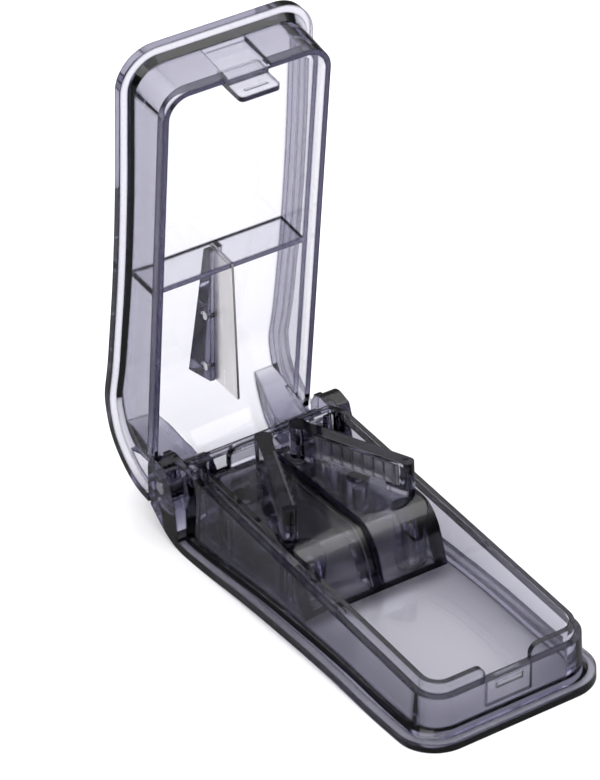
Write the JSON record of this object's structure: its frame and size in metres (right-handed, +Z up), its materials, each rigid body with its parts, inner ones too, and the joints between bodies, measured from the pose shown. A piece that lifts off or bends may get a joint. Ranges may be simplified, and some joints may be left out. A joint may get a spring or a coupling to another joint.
{
  "type": "pill splitter",
  "caption": "Clear smoke-plastic pill splitter: hinged blade lid, V-shaped pill grips on a raised bed and a storage tray.",
  "frame": {"origin": "middle of the base's rear heel, on the table plane and the centre plane, 9.8 mm in front of the hinge axis", "axes": "+Z up, +X right along the hinge axis, -Y towards the opening front"},
  "size_m": [0.042, 0.1079, 0.1031],
  "materials": {
    "smoke_shell": "polished clear smoke-grey plastic",
    "smoke_bed": "polished clear smoke-grey plastic, thicker and darker",
    "smoke_arm": "polished clear smoke-grey plastic, thicker and darker",
    "smoke_clamp": "clear smoke-grey plastic",
    "black_plastic": "moulded black, slightly satin",
    "blade_steel": "fine brushed, ground edge",
    "pin_steel": "drawn wire, chamfered ends",
    "fastener_steel": "zinc plated"
  },
  "bodies": {
    "base": {"base_shell": "smoke_shell", "hinge_pin_left": "pin_steel", "hinge_pin_right": "pin_steel", "pill_bed": "smoke_bed", "mechanism_plate": "black_plastic", "bed_screws": "fastener_steel", "plate_screws": "fastener_steel", "left_arm_spring": "fastener_steel", "right_arm_spring": "fastener_steel"},
    "lid": {"lid_shell": "smoke_shell", "blade": "blade_steel", "blade_clamp": "smoke_clamp", "blade_rivets": "fastener_steel"},
    "left_grip": {"left_arm": "smoke_arm", "left_grip_strip": "smoke_arm", "left_sector": "black_plastic", "left_shaft_clip": "fastener_steel"},
    "right_grip": {"right_arm": "smoke_arm", "right_grip_strip": "smoke_arm", "right_sector": "black_plastic", "right_shaft_clip": "fastener_steel"}
  },
  "joints": [
    {"name": "lid_hinge", "type": "hinge", "parent": "base", "child": "lid", "pos_m": [0, 0.0098, 0.01095], "axis": [1, 0, 0], "range_deg": [0, 85.37]},
    {"name": "left_grip_pivot", "type": "hinge", "parent": "base", "child": "left_grip", "pos_m": [-0.0039, -0.0022, 0.0189], "axis": [0, 0, 1], "range_deg": [-1.8, 19], "deforming": ["left_arm_spring"]},
    {"name": "right_grip_pivot", "type": "hinge", "parent": "base", "child": "right_grip", "pos_m": [0.0039, -0.0022, 0.0189], "axis": [0, 0, 1], "range_deg": [-19, 1.8], "deforming": ["right_arm_spring"]}
  ],
  "couplings": [
    {"joint": "right_grip_pivot", "follows": "left_grip_pivot", "ratio": -1}
  ]
}
